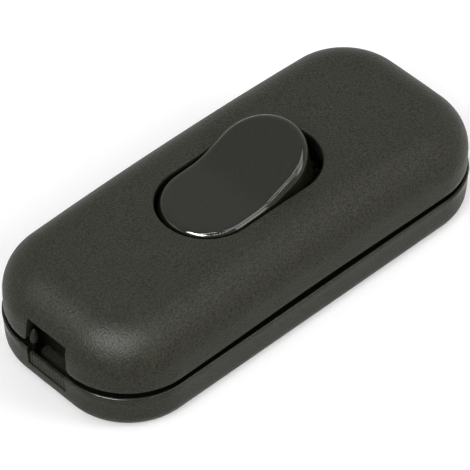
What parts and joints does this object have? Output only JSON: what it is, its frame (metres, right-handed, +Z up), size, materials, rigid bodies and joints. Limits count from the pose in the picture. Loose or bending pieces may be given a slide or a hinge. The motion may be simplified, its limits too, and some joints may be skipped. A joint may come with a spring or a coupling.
{
  "type": "inline cord switch",
  "caption": "Small oblong in-line switch for a lamp cord, with a rocker in its crowned cover and a cord entry at each end.",
  "frame": {"origin": "middle of the base's flat underside", "axes": "+X along the cord, from the pressed end of the rocker to its raised end; +Z up, out of the rocker's face"},
  "size_m": [0.0624, 0.0272, 0.0186],
  "materials": {
    "housing": "fine matt moulded thermoset",
    "rocker": "polished moulded",
    "nylon": "moulded nylon",
    "copper_alloy": "rolled bronze strip",
    "brass": "stamped strip",
    "silver": "bright",
    "zinc_steel": "zinc plated",
    "spring_steel": "drawn wire"
  },
  "bodies": {
    "housing": {"base": "housing", "cover": "housing", "line_fixed_contact": "silver", "line_feed_terminal": "brass", "line_load_terminal": "brass", "neutral_fixed_contact": "silver", "neutral_feed_terminal": "brass", "neutral_load_terminal": "brass", "wire_plates": "zinc_steel", "terminal_screws": "zinc_steel", "cord_clamp_left": "nylon", "cord_clamp_right": "nylon", "clamp_screws_left": "zinc_steel", "clamp_screws_right": "zinc_steel", "case_screws": "zinc_steel"},
    "rocker": {"rocker": "rocker", "line_spring": "spring_steel", "neutral_spring": "spring_steel"},
    "line_plunger": {"line_plunger": "nylon"},
    "line_lever": {"line_lever": "copper_alloy", "line_moving_contact": "silver"},
    "neutral_plunger": {"neutral_plunger": "nylon"},
    "neutral_lever": {"neutral_lever": "copper_alloy", "neutral_moving_contact": "silver"}
  },
  "joints": [
    {"name": "rocker_tilt", "type": "hinge", "parent": "housing", "child": "rocker", "pos_m": [0, 0, 0.0112], "axis": [0, 1, 0], "range_deg": [0, 25.5]},
    {"name": "line_contact_tilt", "type": "hinge", "parent": "housing", "child": "line_lever", "pos_m": [0, -0.0029, 0.0052], "axis": [0, 1, 0], "range_deg": [-12, 0]},
    {"name": "line_plunger_slide", "type": "slide", "parent": "rocker", "child": "line_plunger", "axis": [-0.2207, 0, 0.9753], "range_m": [0, 0.0007], "stiffness_N_per_m": 300, "springref_m": -0.001, "deforming": ["line_spring"]},
    {"name": "neutral_contact_tilt", "type": "hinge", "parent": "housing", "child": "neutral_lever", "pos_m": [0, 0.0029, 0.0052], "axis": [0, 1, 0], "range_deg": [-12, 0]},
    {"name": "neutral_plunger_slide", "type": "slide", "parent": "rocker", "child": "neutral_plunger", "axis": [-0.2207, 0, 0.9753], "range_m": [0, 0.0007], "stiffness_N_per_m": 300, "springref_m": -0.001, "deforming": ["neutral_spring"]}
  ],
  "couplings": [
    {"joint": "line_contact_tilt", "follows": "rocker_tilt", "ratio": -0.47059},
    {"joint": "neutral_contact_tilt", "follows": "rocker_tilt", "ratio": -0.47059}
  ]
}
